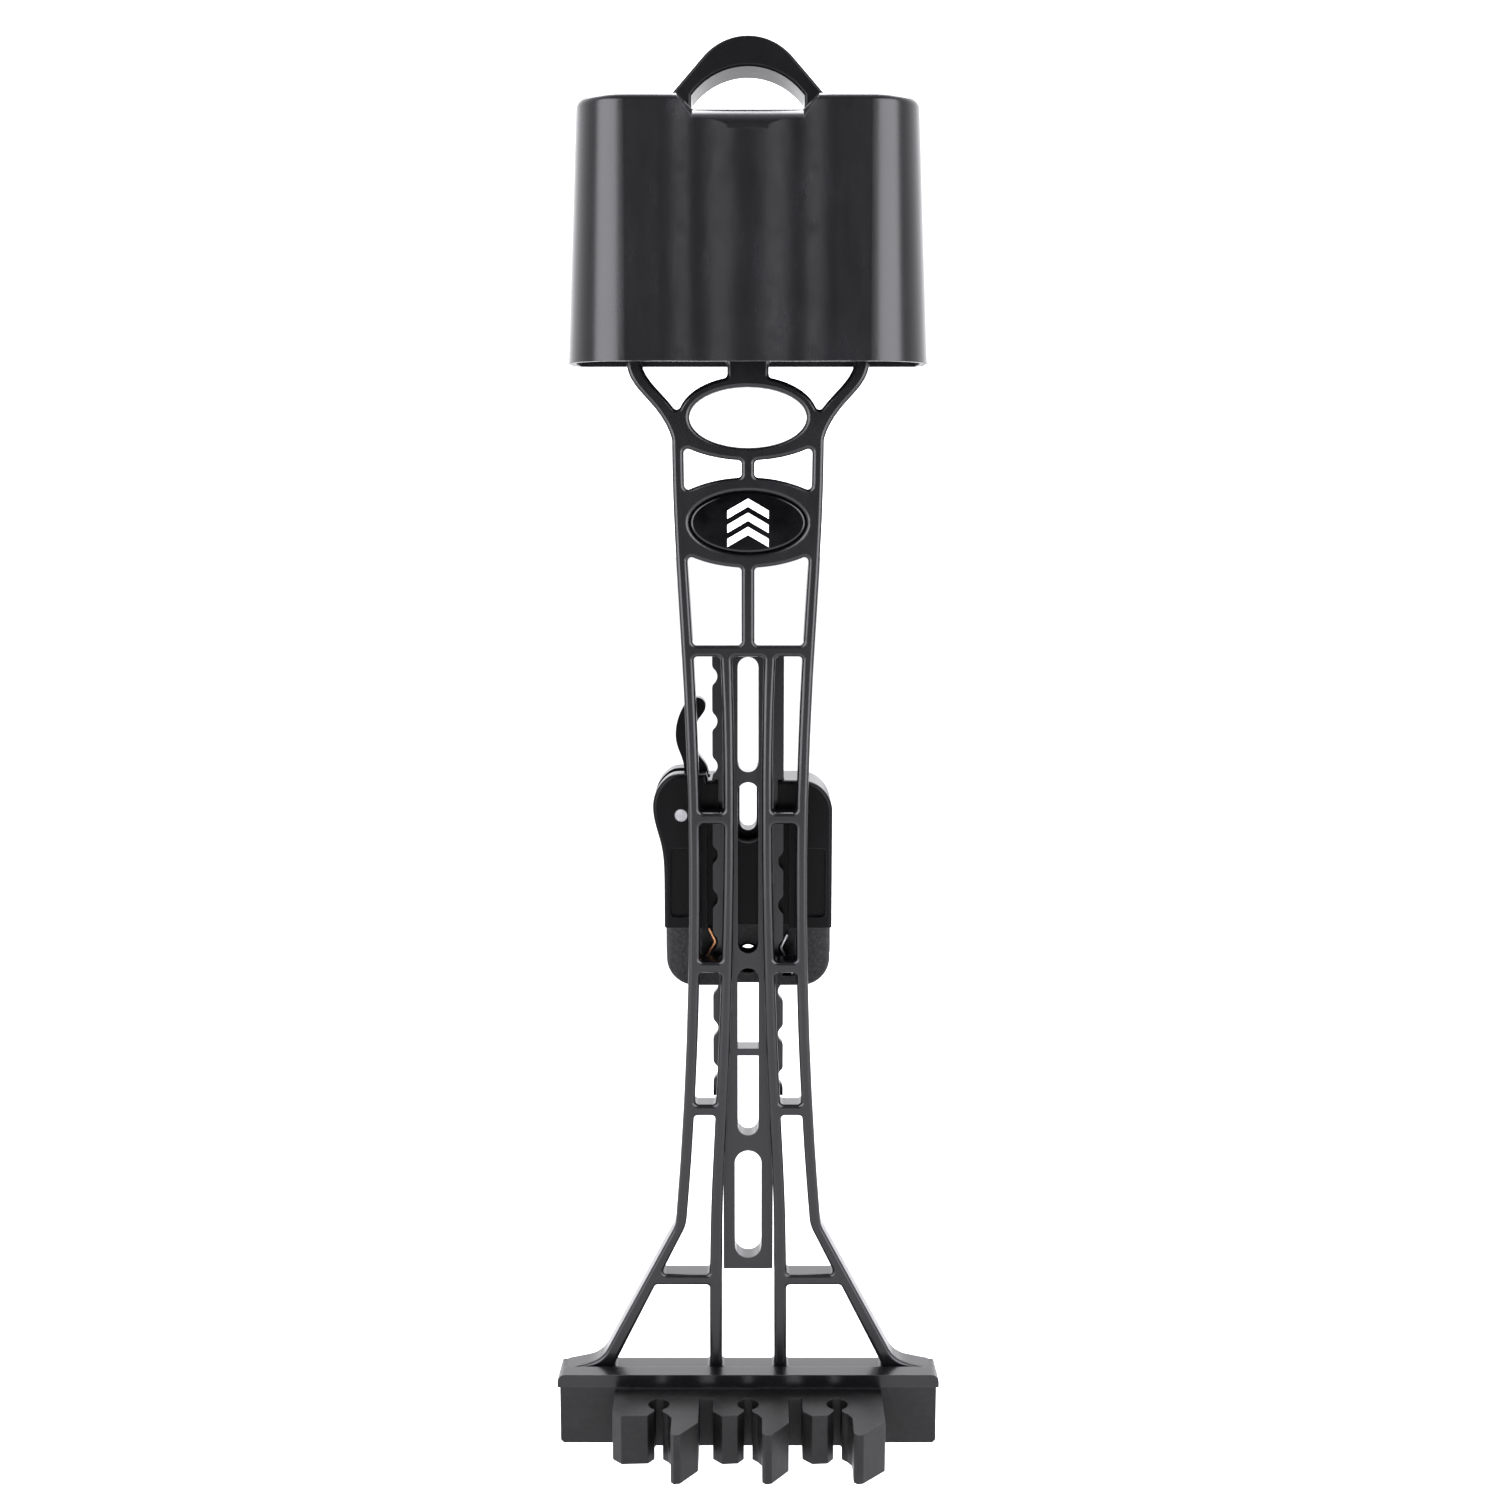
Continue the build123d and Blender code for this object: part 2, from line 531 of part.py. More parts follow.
def lip_points(slot_x, right):
    """Plan outline (X, depth) of the angled lip to the right of an arrow slot."""
    return [(slot_x + NECK_HALF, ARROW_DEPTH), (slot_x + NECK_HALF, -20.2), (slot_x + 3.0, -21.8),
            (slot_x + 4.3, -24.0), (slot_x + 4.3, -33.2), (slot_x + 5.4, -34.4), (slot_x + 7.2, -34.0),
            (slot_x + right, -26.8), (slot_x + right, GRIP_ROOT_FRONT)]


def finger_points(slot_x, left):
    """Plan outline (X, depth) of the blunt finger to the left of an arrow slot."""
    return [(slot_x - NECK_HALF, ARROW_DEPTH), (slot_x - NECK_HALF, -20.0), (slot_x - 3.2, -22.6),
            (slot_x - left + 3.0, -23.0), (slot_x - left, -20.0), (slot_x - left, GRIP_ROOT_FRONT)]


with BuildPart() as front_gripper:
    with BuildSketch(from_above(GRIP_BOTTOM)):
        with Locations((0, (FLANGE_FRONT + 0.3 + GRIP_ROOT_FRONT) / 2)):
            Rectangle(2 * GRIP_HALF, FLANGE_FRONT + 0.3 - GRIP_ROOT_FRONT)
        for slot_x, finger_left, lip_right in GRIP_SLOTS:
            Polygon(*finger_points(slot_x, finger_left), (slot_x - NECK_HALF, GRIP_ROOT_FRONT), align=None)
            Polygon(*lip_points(slot_x, lip_right), (slot_x + NECK_HALF, GRIP_ROOT_FRONT), align=None)
        with Locations(*[(slot_x, ARROW_DEPTH) for slot_x, _, _ in GRIP_SLOTS]):
            Circle(ARROW_SLOT_R, mode=Mode.SUBTRACT)
    extrude(amount=GRIP_TOP - GRIP_BOTTOM)
    uprights = front_gripper.edges().filter_by(Axis.Z).filter_by(lambda e: e.center().Y + MOUNT_DEPTH < -19)
    fillet(uprights, 0.7)
    with BuildSketch(from_above(GRIP_BOTTOM)):
        with Locations((0, FLANGE_FRONT + TONGUE_DEPTH / 2)):
            Rectangle(2 * TONGUE_HALF, TONGUE_DEPTH)
    extrude(amount=GRIP_TOP - GRIP_BOTTOM)
finish(front_gripper.part, "front_gripper")


# ---------------------------------------------------------------- mount
def mount_outline(depth, half):
    """Front view outline of the mount: rounded block with the lever's ear at its upper left."""
    with BuildSketch(at_depth(depth)) as outline:
        with BuildLine():
            ear = Spline((-half, 8.0), (-half - 0.9, 21.0), (-29.5, 30.5), (-28.4, 38.5), (-24.2, 43.0),
                         (-18.0, 43.6), tangents=((0, 1), (1, 0)))
            Polyline(ear @ 1, (-13.0, 43.6), (-12.5, MOUNT_TOP), (half, MOUNT_TOP), (half, MOUNT_BOTTOM),
                     (-half, MOUNT_BOTTOM), ear @ 0)
        make_face()
        lower = [v for v in outline.vertices() if v.Y < MOUNT_BOTTOM + 1]
        fillet(lower, MOUNT_LOWER_R)
        upper_right = [v for v in outline.vertices() if v.Y > MOUNT_TOP - 1 and v.X > half - 1]
        fillet(upper_right, MOUNT_UPPER_R)
    return outline.sketch


def keep_band(low, high, depth):
    """Wide rectangle between two heights, used to cut the mount's outline into its pieces."""
    with BuildSketch(at_depth(depth)) as band:
        with Locations((0, (low + high) / 2)):
            Rectangle(80, high - low)
    return band.sketch


def cut_channel():
    """Cuts the rail's channel, its front opening and the window between the retaining lips."""
    wide = (-CHANNEL_HALF, CHANNEL_HALF)
    add(front_box(wide, (-40, 60), CHANNEL_FRONT, CHANNEL_BACK), mode=Mode.SUBTRACT)
    add(front_box((-LIP_HALF, LIP_HALF), (-40, 60), HOUSING_FRONT - 2, CHANNEL_FRONT), mode=Mode.SUBTRACT)
    add(front_box((-WINDOW_HALF, WINDOW_HALF), (WINDOW_BOTTOM, WINDOW_TOP), HOUSING_FRONT - 2, CHANNEL_BACK),
        mode=Mode.SUBTRACT)


with BuildPart() as mount_housing:
    extrude(mount_outline(HOUSING_FRONT, MOUNT_HALF), amount=PLATE_FRONT - HOUSING_FRONT, dir=BACKWARDS)
    extrude(keep_band(CAP_TOP, 60, HOUSING_FRONT), amount=PLATE_FRONT - HOUSING_FRONT, dir=BACKWARDS,
            mode=Mode.INTERSECT)
    fillet(mount_housing.faces().sort_by(Axis.Y)[0].edges().filter_by(
        lambda e: e.center().Z > CAP_TOP + 1), MOUNT_EDGE_R)
    cut_channel()
    # shallow pockets beside the window
    for side in (-1, 1):
        with BuildSketch(at_depth(HOUSING_FRONT)):
            with Locations((side * POCKET_MID_X, POCKET_MID_Z)):
                RectangleRounded(POCKET_WIDTH, POCKET_HEIGHT, 1.5)
        extrude(amount=POCKET_DEPTH, dir=BACKWARDS, mode=Mode.SUBTRACT)
    # lever slot behind the front ear, and the window of the clamp shoe
    shoe_room = SHOE_LEFT - 0.5
    shoe_heights = (SHOE_BOTTOM - SHOE_PLAY, SHOE_TOP + SHOE_PLAY)
    for x_range, z_range, slot_front in (
            ((-40, shoe_room), (LEVER_SLOT_BOTTOM, 60), LEVER_SLOT_FRONT),
            ((shoe_room, LEVER_SLOT_RIGHT), (SHOE_TOP + 0.8, 60), LEVER_SLOT_FRONT),
            ((shoe_room, SHOE_RIGHT + 0.1), shoe_heights, CHANNEL_FRONT)):
        add(front_box(x_range, z_range, slot_front, PLATE_FRONT), mode=Mode.SUBTRACT)
    with Locations(at_depth(LEVER_SLOT_FRONT)):
        with Locations((PIN_X, PIN_Z)):
            Cylinder(PIN_R, 40, mode=Mode.SUBTRACT)
    # tool access to the upper bow screw
    with BuildSketch(at_depth(CHANNEL_BACK)):
        with Locations((0, BOW_SLOT_Z)):
            Circle(HEAD_ACCESS_R)
        with Locations((0, BOW_SLOT_Z + 20)):
            Rectangle(2 * HEAD_ACCESS_R, 40)
    extrude(amount=PLATE_FRONT - CHANNEL_BACK, dir=BACKWARDS, mode=Mode.SUBTRACT)
    with Locations(at_depth(PLATE_FRONT)):
        with Locations(*HOUSING_SCREWS[:3]):
            Cylinder(INSERT_R, 2 * MOUNT_INSERT_LENGTH, mode=Mode.SUBTRACT)
finish(mount_housing.part, "mount_housing")

with BuildPart() as mount_cap:
    cap_depth = PLATE_FRONT - HOUSING_FRONT - CAP_INSET
    extrude(mount_outline(HOUSING_FRONT + CAP_INSET, MOUNT_HALF - 0.6), amount=cap_depth, dir=BACKWARDS)
    extrude(keep_band(-40, CAP_TOP, HOUSING_FRONT + CAP_INSET), amount=cap_depth, dir=BACKWARDS,
            mode=Mode.INTERSECT)
    fillet(mount_cap.faces().sort_by(Axis.Y)[0].edges().filter_by(
        lambda e: e.center().Z < CAP_TOP - 1), MOUNT_EDGE_R)
    cut_channel()
    for side, shift in ((-1, 0.0), (1, NOTCH_RIGHT_Z - NOTCH_LEFT_Z)):
        near, far = sorted((side * (CHANNEL_HALF - 0.5), side * (DETENT_ROOT_X + 0.9)))
        add(front_box((near, far), (DETENT_ROOT_TOP + shift, CAP_TOP + 1), HOUSING_FRONT, CHANNEL_BACK),
            mode=Mode.SUBTRACT)
        near, far = sorted(side * (DETENT_ROOT_X + edge) for edge in (-DETENT_THICK / 2, DETENT_THICK / 2))
        root_heights = (DETENT_ROOT_BOTTOM + shift, DETENT_ROOT_TOP + shift + 1)
        add(front_box((near, far), root_heights, DETENT_FRONT, CHANNEL_BACK), mode=Mode.SUBTRACT)
    with Locations(at_depth(PLATE_FRONT)):
        with Locations((0, BOW_HOLE_Z)):
            Cylinder(HEAD_ACCESS_R, 30, mode=Mode.SUBTRACT)
        with Locations(*HOUSING_SCREWS[3:]):
            Cylinder(INSERT_R, 2 * MOUNT_INSERT_LENGTH, mode=Mode.SUBTRACT)
finish(mount_cap.part, "mount_cap")

with BuildPart() as mount_plate:
    extrude(mount_outline(PLATE_FRONT, MOUNT_HALF), amount=MOUNT_DEPTH - PLATE_FRONT, dir=BACKWARDS)
    fillet(mount_plate.faces().sort_by(Axis.Y)[-1].edges(), MOUNT_EDGE_R)
    with Locations(at_depth(PLATE_FRONT)):
        with Locations((0, BOW_HOLE_Z), (0, BOW_SLOT_Z)):
            Cylinder(BOW_HOLE_R, 30, mode=Mode.SUBTRACT)
        with Locations((PIN_X, PIN_Z)):
            Cylinder(PIN_R, 40, mode=Mode.SUBTRACT)
        with Locations(*HOUSING_SCREWS):
            Cylinder(M4_R, 30, mode=Mode.SUBTRACT)
    add(front_box((-BOW_HOLE_R, BOW_HOLE_R), (BOW_SLOT_Z, 60), PLATE_FRONT, MOUNT_DEPTH), mode=Mode.SUBTRACT)
    with Locations(Plane.XZ):
        with Locations(*HOUSING_SCREWS):
            Cone(M4_R, 2 * M4_HEAD_R - M4_R, 2 * (M4_HEAD_R - M4_R), rotation=(180, 0, 0), mode=Mode.SUBTRACT)
finish(mount_plate.part, "mount_plate")


# ---------------------------------------------------------------- cam lever, pin, washers, clamp shoe
with BuildPart() as cam_lever:
    with BuildSketch(at_depth(LEVER_FRONT)) as lever_profile:
        with BuildLine():
            Spline(*LEVER_OUTLINE, periodic=True)
        make_face()
        with Locations((PIN_X + CAM_OFFSET, PIN_Z)):
            Circle(CAM_R)
    extrude(amount=LEVER_BACK - LEVER_FRONT, dir=BACKWARDS)
    with Locations(at_depth(LEVER_FRONT)):
        with Locations((PIN_X, PIN_Z)):
            Cylinder(PIN_R + PIN_CLEARANCE, 30, mode=Mode.SUBTRACT)
finish(cam_lever.part, "cam_lever")

with BuildPart() as lever_pin:
    with Locations(Plane.XZ.offset(MOUNT_DEPTH / 2 - HOUSING_FRONT / 2)):
        with Locations((PIN_X, PIN_Z)):
            Cylinder(PIN_R, MOUNT_DEPTH - HOUSING_FRONT - 0.8)
finish(lever_pin.part, "lever_pin")

with BuildPart() as lever_washers:
    for washer_front in (LEVER_SLOT_FRONT + 0.02, LEVER_BACK + 0.03):
        with BuildSketch(at_depth(washer_front)):
            with Locations((PIN_X, PIN_Z)):
                Circle(WASHER_R)
                Circle(PIN_R + PIN_CLEARANCE, mode=Mode.SUBTRACT)
        extrude(amount=WASHER_THICK, dir=BACKWARDS)
finish(lever_washers.part, "lever_washers")

with BuildPart() as clamp_shoe:
    add(front_box((SHOE_LEFT, SHOE_RIGHT), (SHOE_BOTTOM, SHOE_TOP), CHANNEL_FRONT + 0.1, PLATE_FRONT - 0.1))
    chamfer(clamp_shoe.faces().sort_by(Axis.X)[-1].edges().filter_by(Axis.Y), 0.6)
finish(clamp_shoe.part, "clamp_shoe")


# ---------------------------------------------------------------- detent springs
def detent_spring(side, shift, name):
    """Bent leaf spring whose nose rests in a notch of the rail and whose root sits in the cap."""
    with BuildPart() as spring:
        with BuildSketch(at_depth(DETENT_FRONT)):
            with BuildLine():
                FilletPolyline(*[(side * x, z + shift) for x, z in DETENT_PATH], radius=1.0)
            trace(line_width=DETENT_THICK)
        extrude(amount=RAIL_BACK - DETENT_FRONT, dir=BACKWARDS)
    finish(spring.part, name)


detent_spring(-1, 0.0, "detent_spring_left")
detent_spring(1, NOTCH_RIGHT_Z - NOTCH_LEFT_Z, "detent_spring_right")


# ---------------------------------------------------------------- fasteners, in groups
with BuildPart() as hood_inserts:
    with BuildSketch(at_depth(STRUT_DEPTH - INSERT_LENGTH)):
        with Locations(*[(x, HOOD_SCREW_Z) for x in HOOD_SCREW_XS]):
            Circle(INSERT_R)
            Circle(M4_R, mode=Mode.SUBTRACT)
    extrude(amount=INSERT_LENGTH, dir=BACKWARDS)
finish(hood_inserts.part, "hood_inserts")

with BuildPart() as hood_screws:
    with BuildSketch(at_depth(STRUT_DEPTH - INSERT_LENGTH + 0.4)):
        with Locations(*[(x, HOOD_SCREW_Z) for x in HOOD_SCREW_XS]):
            Circle(M4_R)
    extrude(amount=HOOD_BACK + INSERT_LENGTH - STRUT_DEPTH - 0.4, dir=BACKWARDS)
    with BuildSketch(at_depth(HOOD_BACK)):
        with Locations(*[(x, HOOD_SCREW_Z) for x in HOOD_SCREW_XS]):
            Circle(M4_HEAD_R)
    extrude(amount=M4_HEAD_H, dir=BACKWARDS)
    fillet(hood_screws.faces().sort_by(Axis.Y)[-3:].edges(), 1.2)
    with BuildSketch(at_depth(HOOD_BACK + M4_HEAD_H)):
        with Locations(*[(x, HOOD_SCREW_Z) for x in HOOD_SCREW_XS]):
            RegularPolygon(HEX_R, 6)
    extrude(amount=HEX_DEPTH, mode=Mode.SUBTRACT)
finish(hood_screws.part, "hood_screws")

with BuildPart() as loop_screws:
    with BuildSketch(from_above(ROOF_UNDERSIDE - M4_HEAD_H)):
        with Locations((-LOOP_SCREW_X, 0), (LOOP_SCREW_X, 0)):
            Circle(M4_HEAD_R)
    extrude(amount=M4_HEAD_H)
    with BuildSketch(from_above(ROOF_UNDERSIDE)):
        with Locations((-LOOP_SCREW_X, 0), (LOOP_SCREW_X, 0)):
            Circle(M4_R)
    extrude(amount=HOOD_TOP - ROOF_DROP - ROOF_UNDERSIDE + LOOP_SCREW_BITE - 0.4)
finish(loop_screws.part, "loop_screws")

with BuildPart() as gripper_screws:
    with BuildSketch(from_above(FLANGE_BOTTOM - BLOCK_HEIGHT + GRIP_HEAD_SINK - GRIP_HEAD_H)):
        with Locations(*[(x, GRIP_SCREW_DEPTH) for x in (-GRIP_SCREW_X, GRIP_SCREW_X)]):
            Circle(GRIP_HEAD_R)
    extrude(amount=GRIP_HEAD_H)
    with BuildSketch(from_above(FLANGE_BOTTOM - BLOCK_HEIGHT + GRIP_HEAD_SINK)):
        with Locations(*[(x, GRIP_SCREW_DEPTH) for x in (-GRIP_SCREW_X, GRIP_SCREW_X)]):
            Circle(GRIP_SCREW_R)
    extrude(amount=BLOCK_HEIGHT - GRIP_HEAD_SINK + GRIP_SCREW_BITE - 0.2)
finish(gripper_screws.part, "gripper_screws")

with BuildPart() as mount_inserts:
    with BuildSketch(at_depth(PLATE_FRONT - MOUNT_INSERT_LENGTH)):
        with Locations(*HOUSING_SCREWS):
            Circle(INSERT_R)
            Circle(M4_R, mode=Mode.SUBTRACT)
    extrude(amount=MOUNT_INSERT_LENGTH, dir=BACKWARDS)
finish(mount_inserts.part, "mount_inserts")

with BuildPart() as mount_screws:
    with BuildSketch(at_depth(PLATE_FRONT - MOUNT_INSERT_LENGTH + 0.6)):
        with Locations(*HOUSING_SCREWS):
            Circle(M4_R)
    extrude(amount=MOUNT_DEPTH - PLATE_FRONT + MOUNT_INSERT_LENGTH - 0.8, dir=BACKWARDS)
    with Locations(Plane.XZ.offset((M4_HEAD_R - M4_R) / 2)):
        with Locations(*HOUSING_SCREWS):
            Cone(M4_R, M4_HEAD_R, M4_HEAD_R - M4_R, rotation=(180, 0, 0))
    with BuildSketch(Plane.XZ):
        with Locations(*HOUSING_SCREWS):
            RegularPolygon(HEX_R, 6)
    extrude(amount=HEX_DEPTH, mode=Mode.SUBTRACT)
finish(mount_screws.part, "mount_screws")
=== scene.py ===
"""Looks, lights and camera for the bow-mounted arrow quiver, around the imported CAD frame.

Metres, in the CAD's own frame: +Z up, the arrows' side faces -Y, the bow is on the +Y side.
"""
import math

import bmesh
import bpy
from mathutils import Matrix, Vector


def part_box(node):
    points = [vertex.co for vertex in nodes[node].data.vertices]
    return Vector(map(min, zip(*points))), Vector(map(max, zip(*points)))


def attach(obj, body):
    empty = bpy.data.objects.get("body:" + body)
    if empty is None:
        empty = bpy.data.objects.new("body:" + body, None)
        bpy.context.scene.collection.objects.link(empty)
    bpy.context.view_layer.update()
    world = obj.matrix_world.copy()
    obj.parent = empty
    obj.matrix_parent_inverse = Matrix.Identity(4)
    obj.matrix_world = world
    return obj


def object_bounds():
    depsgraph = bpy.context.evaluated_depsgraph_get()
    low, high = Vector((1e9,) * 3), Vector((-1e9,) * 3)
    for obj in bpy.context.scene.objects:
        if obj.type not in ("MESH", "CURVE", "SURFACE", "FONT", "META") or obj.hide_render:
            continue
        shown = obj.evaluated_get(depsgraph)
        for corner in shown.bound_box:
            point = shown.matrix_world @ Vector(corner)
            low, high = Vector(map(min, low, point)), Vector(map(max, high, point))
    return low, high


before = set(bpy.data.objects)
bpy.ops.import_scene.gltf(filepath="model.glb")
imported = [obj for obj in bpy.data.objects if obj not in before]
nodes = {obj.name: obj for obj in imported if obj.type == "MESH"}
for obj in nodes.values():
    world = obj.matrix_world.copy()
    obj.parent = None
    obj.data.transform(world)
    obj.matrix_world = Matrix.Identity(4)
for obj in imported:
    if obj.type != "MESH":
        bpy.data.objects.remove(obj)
cad_box = [list(corner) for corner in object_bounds()]

# ---------------------------------------------------------------- stage
FRAME_FRONT_Y = -0.028      # front face of the quiver's frame
CAMERA_DISTANCE = 0.550     # in front of that face
CAMERA_HEIGHT = 0.1396
CAMERA_PITCH = 9.0          # degrees downwards
CAMERA_X = 0.0006
LENS = 43.8                 # mm
SENSOR = 36.0               # mm
SLIDE_DROP = 0.0285         # how far below the foot the floor lies, so that the quiver can slide down
FLOOR_HALF = 6.0
DAYLIGHT = (0.96, 0.95, 1.0)
LIGHT_TARGET = (0.0, -0.02, 0.05)
SOFTBOXES = {               # position, width, height, watts
    "softbox_left": ((-0.74, -0.88, 0.25), 0.92, 1.5, 42.0),
    "softbox_right": ((0.74, -0.88, 0.25), 0.92, 1.5, 42.0),
    "softbox_top": ((0.0, 0.45, 1.15), 1.4, 0.7, 40.0),
}
WORLD_COLOUR = (0.97, 0.97, 1.0, 1.0)
WORLD_FRONT = 0.09          # strength behind the camera
WORLD_BACK = 3.2            # strength of the backdrop

# ---------------------------------------------------------------- mark on the badge, in mm
MARK_UNIT = 0.001
MARK_TOPS = (7.2, 3.0, -1.2)
MARK_HALF = 6.2
MARK_RISE = 3.6             # from a chevron's ends to its tip
MARK_BAND = 2.4
MARK_THICKNESS = 0.0001     # metres
MARK_STANDOUT = 0.00004     # metres that the mark stands out of the badge


# ---------------------------------------------------------------- material building blocks
class Shader:
    """A material's node tree with short calls for the nodes that every finish here shares."""

    def __init__(self, name):
        self.material = bpy.data.materials.new(name)
        self.material.use_nodes = True
        self.tree = self.material.node_tree
        self.tree.nodes.clear()
        self.out = self.node("ShaderNodeOutputMaterial")
        self.bsdf = self.node("ShaderNodeBsdfPrincipled")
        self.link(self.bsdf, "BSDF", self.out, "Surface")
        self.coords = self.node("ShaderNodeTexCoord")

    def node(self, kind, **values):
        made = self.tree.nodes.new(kind)
        for key, value in values.items():
            setattr(made, key, value)
        return made

    def link(self, source, output, target, entry):
        self.tree.links.new(source.outputs[output], target.inputs[entry])

    def stretched(self, scale):
        """Object coordinates, in metres, squeezed by a factor along each axis."""
        mapping = self.node("ShaderNodeMapping")
        mapping.inputs["Scale"].default_value = scale
        self.link(self.coords, "Object", mapping, "Vector")
        return mapping, "Vector"

    def noise(self, scale, detail=3.0, roughness=0.55, source=None):
        made = self.node("ShaderNodeTexNoise")
        made.inputs["Scale"].default_value = scale
        made.inputs["Detail"].default_value = detail
        made.inputs["Roughness"].default_value = roughness
        start, output = source or (self.coords, "Object")
        self.link(start, output, made, "Vector")
        return made, "Fac"

    def cells(self, scale):
        made = self.node("ShaderNodeTexVoronoi", feature="F1")
        made.inputs["Scale"].default_value = scale
        self.link(self.coords, "Object", made, "Vector")
        return made, "Distance"

    def remap(self, source, low, high, to_low=0.0, to_high=1.0):
        made = self.node("ShaderNodeMapRange", clamp=True)
        for entry, value in (("From Min", low), ("From Max", high), ("To Min", to_low), ("To Max", to_high)):
            made.inputs[entry].default_value = value
        self.link(source[0], source[1], made, "Value")
        return made, "Result"

    def math(self, operation, a, b):
        made = self.node("ShaderNodeMath", operation=operation)
        for entry, value in ((0, a), (1, b)):
            if isinstance(value, tuple):
                self.tree.links.new(value[0].outputs[value[1]], made.inputs[entry])
            else:
                made.inputs[entry].default_value = value
        return made, "Value"

    def blend(self, mask, first, second):
        """Colour that goes from first to second with the mask. Each is a colour or a node's output."""
        made = self.node("ShaderNodeMix", data_type="RGBA")
        self.tree.links.new(mask[0].outputs[mask[1]], made.inputs["Factor"])
        for entry, value in ((6, first), (7, second)):
            if isinstance(value[0], float):
                made.inputs[entry].default_value = (*value, 1.0)
            else:
                self.tree.links.new(value[0].outputs[value[1]], made.inputs[entry])
        return made, 2

    def edges(self, radius):
        """Mask that is 1 on sharp outer and inner edges: how far a bevelled normal leaves the real one."""
        bevel = self.node("ShaderNodeBevel", samples=4)
        bevel.inputs["Radius"].default_value = radius
        geometry = self.node("ShaderNodeNewGeometry")
        dot = self.node("ShaderNodeVectorMath", operation="DOT_PRODUCT")
        self.link(bevel, "Normal", dot, 0)
        self.link(geometry, "Normal", dot, 1)
        turned = self.math("SUBTRACT", 1.0, (dot, "Value"))
        return self.remap(turned, 0.02, 0.35)

    def bump(self, height, strength, distance, after=None):
        made = self.node("ShaderNodeBump")
        made.inputs["Strength"].default_value = strength
        made.inputs["Distance"].default_value = distance
        self.link(height[0], height[1], made, "Height")
        if after is not None:
            self.link(after, "Normal", made, "Normal")
        return made

    def round_edges(self, radius, first_bump):
        """Feeds a small bevel under the first bump, so that sharp CAD edges catch the light."""
        bevel = self.node("ShaderNodeBevel", samples=4)
        bevel.inputs["Radius"].default_value = radius
        self.link(bevel, "Normal", first_bump, "Normal")

    def finish(self, colour, roughness, normal, **values):
        for entry, value in (("Base Color", colour), ("Roughness", roughness)):
            self.link(value[0], value[1], self.bsdf, entry)
        self.link(normal, "Normal", self.bsdf, "Normal")
        for entry, value in values.items():
            self.bsdf.inputs[entry.replace("_", " ")].default_value = value
        return self.material


def moulded_plastic(name, dark, light, rough, grain, grain_depth, wear_and_highlight_amount, specular):
    """Satin or textured moulded plastic: cloudy colour, fine grain, soft scuffs and paler edges that are
    partly wear and partly a painted edge highlight.
    """
    s = Shader(name)
    cloud = s.noise(38.0, 4.0)
    scuffs = s.noise(210.0, 6.0, 0.7, s.stretched((1.0, 1.0, 0.25)))
    body = s.blend(s.remap(cloud, 0.35, 0.68), dark, light)
    # Edges blend towards a pale grey: partly wear where the scuffs fall, partly a painted edge highlight.
    wear_and_highlight_edges = s.math("MULTIPLY", s.edges(0.0006), s.remap(scuffs, 0.42, 0.7))
    colour = s.blend(s.math("MULTIPLY", wear_and_highlight_edges, wear_and_highlight_amount), body, (0.11, 0.11, 0.115))
    roughness = s.math("ADD", s.remap(scuffs, 0.3, 0.75, rough - 0.018, rough + 0.024),
                       s.remap(cloud, 0.3, 0.7, -0.01, 0.01))
    fine = s.bump(s.noise(grain, 2.0), 0.5, grain_depth)
    wide = s.bump(s.noise(grain * 0.12, 3.0), 0.25, grain_depth * 2.0, after=fine)
    s.round_edges(0.00025, fine)
    return s.finish(colour, roughness, wide, Specular_IOR_Level=specular)


def grained_plastic(name, dark, light, rough, cell, depth, specular):
    """Plastic with a coarse pebbled mould texture."""
    s = Shader(name)
    pebbles = s.cells(cell)
    cloud = s.noise(55.0, 4.0)
    body = s.blend(s.remap(pebbles, 0.15, 0.6), light, dark)
    # Painted edge highlight: every edge of the pebbled plastic is blended towards a pale grey.
    colour = s.blend(s.math("MULTIPLY", s.edges(0.0006), 0.35), body, (0.12, 0.12, 0.12))
    roughness = s.remap(cloud, 0.3, 0.7, rough - 0.06, rough + 0.08)
    coarse = s.bump(pebbles, 0.7, depth)
    fine = s.bump(s.noise(cell * 3.0, 2.0), 0.4, depth * 0.5, after=coarse)
    s.round_edges(0.0003, coarse)
    return s.finish(colour, roughness, fine, Specular_IOR_Level=specular)


def moulded_rubber(name, dark, light, bloom_and_edge_highlight):
    """Matte rubber with a cloudy grey bloom, fine pitting and polished high spots."""
    s = Shader(name)
    cloud = s.noise(70.0, 6.0, 0.65)
    specks = s.noise(620.0, 3.0)
    body = s.blend(s.remap(specks, 0.35, 0.7), dark, light)
    colour = s.blend(s.remap(cloud, 0.5, 0.85), body, bloom_and_edge_highlight)
    # Painted edge highlight: every edge of the rubber is blended towards the pale bloom grey.
    colour = s.blend(s.math("MULTIPLY", s.edges(0.0008), 0.3), colour, bloom_and_edge_highlight)
    roughness = s.remap(cloud, 0.3, 0.75, 0.38, 0.52)
    pits = s.bump(s.noise(1500.0, 3.0, 0.6), 0.55, 0.00006)
    flow = s.bump(s.noise(160.0, 2.0, 0.5, s.stretched((1.0, 1.0, 0.3))), 0.3, 0.0003, after=pits)
    s.round_edges(0.0004, pits)
    return s.finish(colour, roughness, flow, Specular_IOR_Level=0.22)


def foam(name):
    """Closed-cell foam."""
    s = Shader(name)
    bubbles = s.cells(1400.0)
    colour = s.blend(s.remap(bubbles, 0.1, 0.6), (0.012, 0.012, 0.012), (0.035, 0.035, 0.036))
    roughness = s.remap(bubbles, 0.0, 0.7, 0.82, 0.95)
    return s.finish(colour, roughness, s.bump(bubbles, 0.9, 0.0004))


